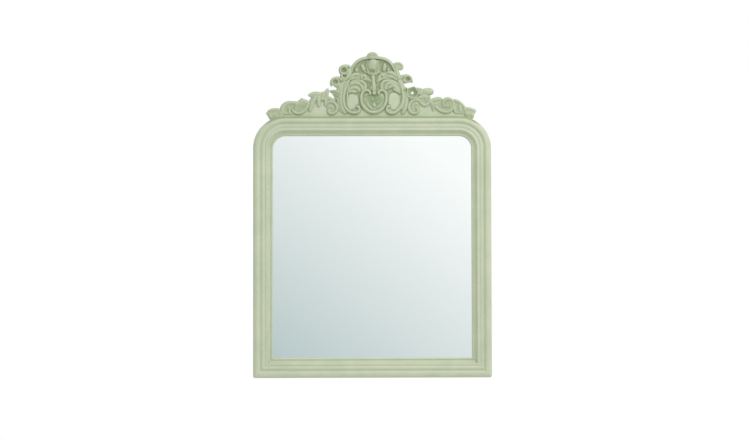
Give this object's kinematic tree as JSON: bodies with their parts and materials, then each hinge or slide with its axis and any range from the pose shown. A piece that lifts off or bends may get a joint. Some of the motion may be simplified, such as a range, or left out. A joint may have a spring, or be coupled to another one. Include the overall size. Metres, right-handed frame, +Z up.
{
  "type": "wall mirror",
  "caption": "Painted wall mirror with a reeded frame, rounded shoulders and a carved crest of scrolls, leaves and a flower over a hooded egg.",
  "frame": {"origin": "on the wall, midway between the two points that the mirror hangs from: the inner crowns of the two hanging rings when they point up", "axes": "+X to the right of someone who looks into the mirror, +Y into the wall, +Z up along the frame"},
  "size_m": [0.875, 0.048, 1.1986],
  "materials": {
    "frame_paint": "satin sage-cream paint over moulded wood, darker in the grooves",
    "crest_paint": "satin sage-cream paint over carved wood, darker in the hollows",
    "bare_wood": "bare beech",
    "mirror_glass": "plain silvered glass with no bevel",
    "hardboard": "smooth brown hardboard",
    "felt_strip": "dark felt",
    "felt_pad": "brown felt",
    "zinc_steel": "zinc-plated"
  },
  "bodies": {
    "mirror_frame": {"backing_board": "hardboard", "bottom_rail": "frame_paint", "centre_stem": "crest_paint", "crest_board": "crest_paint", "crest_plate_screws": "zinc_steel", "crest_plates": "zinc_steel", "crest_tenons": "bare_wood", "cushion_strips": "felt_strip", "egg_cabochon": "crest_paint", "finial_bud": "crest_paint", "hanger_screws": "zinc_steel", "heart_leaves": "crest_paint", "heart_scroll": "crest_paint", "hood_arch": "crest_paint", "left_end_shell": "crest_paint", "left_fluted_leaf": "crest_paint", "left_foot_pad": "felt_pad", "left_frond": "crest_paint", "left_hanger_strap": "zinc_steel", "left_hood_leaf": "crest_paint", "left_hood_petals": "crest_paint", "left_leaf_curls": "crest_paint", "left_oval_boss": "crest_paint", "left_side_scroll": "crest_paint", "left_small_scroll": "crest_paint", "left_stile": "frame_paint", "left_wing_leaf": "crest_paint", "left_wing_spiral": "crest_paint", "mirror_plate": "mirror_glass", "mitre_tenons": "bare_wood", "rail_tenons": "bare_wood", "right_end_shell": "crest_paint", "right_fluted_leaf": "crest_paint", "right_foot_pad": "felt_pad", "right_frond": "crest_paint", "right_hanger_strap": "zinc_steel", "right_hood_leaf": "crest_paint", "right_hood_petals": "crest_paint", "right_leaf_curls": "crest_paint", "right_oval_boss": "crest_paint", "right_side_scroll": "crest_paint", "right_small_scroll": "crest_paint", "right_stile": "frame_paint", "right_trumpet_flower": "crest_paint", "right_wing_leaf": "crest_paint", "right_wing_spiral": "crest_paint", "top_left_corner": "frame_paint", "top_rail": "frame_paint", "top_right_corner": "frame_paint", "turn_button_screws": "zinc_steel"},
    "bottom_left_turn_button": {"bottom_left_turn_button": "zinc_steel"},
    "bottom_right_turn_button": {"bottom_right_turn_button": "zinc_steel"},
    "left_lower_turn_button": {"left_lower_turn_button": "zinc_steel"},
    "left_upper_turn_button": {"left_upper_turn_button": "zinc_steel"},
    "right_lower_turn_button": {"right_lower_turn_button": "zinc_steel"},
    "right_upper_turn_button": {"right_upper_turn_button": "zinc_steel"},
    "top_left_turn_button": {"top_left_turn_button": "zinc_steel"},
    "top_right_turn_button": {"top_right_turn_button": "zinc_steel"},
    "left_hanger_ring": {"left_hanger_ring": "zinc_steel"},
    "right_hanger_ring": {"right_hanger_ring": "zinc_steel"}
  },
  "joints": [
    {"name": "bottom_left_turn_button_turn", "type": "hinge", "parent": "mirror_frame", "child": "bottom_left_turn_button", "pos_m": [-0.1, -0.008, -0.7305], "axis": [0, 1, 0], "continuous": true},
    {"name": "bottom_right_turn_button_turn", "type": "hinge", "parent": "mirror_frame", "child": "bottom_right_turn_button", "pos_m": [0.1, -0.008, -0.7305], "axis": [0, 1, 0], "continuous": true},
    {"name": "left_lower_turn_button_turn", "type": "hinge", "parent": "mirror_frame", "child": "left_lower_turn_button", "pos_m": [-0.388, -0.008, -0.48], "axis": [0, 1, 0], "continuous": true},
    {"name": "left_upper_turn_button_turn", "type": "hinge", "parent": "mirror_frame", "child": "left_upper_turn_button", "pos_m": [-0.388, -0.008, -0.12], "axis": [0, 1, 0], "continuous": true},
    {"name": "right_lower_turn_button_turn", "type": "hinge", "parent": "mirror_frame", "child": "right_lower_turn_button", "pos_m": [0.388, -0.008, -0.48], "axis": [0, 1, 0], "continuous": true},
    {"name": "right_upper_turn_button_turn", "type": "hinge", "parent": "mirror_frame", "child": "right_upper_turn_button", "pos_m": [0.388, -0.008, -0.12], "axis": [0, 1, 0], "continuous": true},
    {"name": "top_left_turn_button_turn", "type": "hinge", "parent": "mirror_frame", "child": "top_left_turn_button", "pos_m": [-0.1, -0.008, 0.1305], "axis": [0, 1, 0], "continuous": true},
    {"name": "top_right_turn_button_turn", "type": "hinge", "parent": "mirror_frame", "child": "top_right_turn_button", "pos_m": [0.1, -0.008, 0.1305], "axis": [0, 1, 0], "continuous": true},
    {"name": "left_hanger_ring_swing", "type": "hinge", "parent": "mirror_frame", "child": "left_hanger_ring", "pos_m": [-0.4065, -0.004, -0.019], "axis": [1, 0, 0], "range_deg": [0, 180]},
    {"name": "right_hanger_ring_swing", "type": "hinge", "parent": "mirror_frame", "child": "right_hanger_ring", "pos_m": [0.4065, -0.004, -0.019], "axis": [1, 0, 0], "range_deg": [0, 180]}
  ]
}
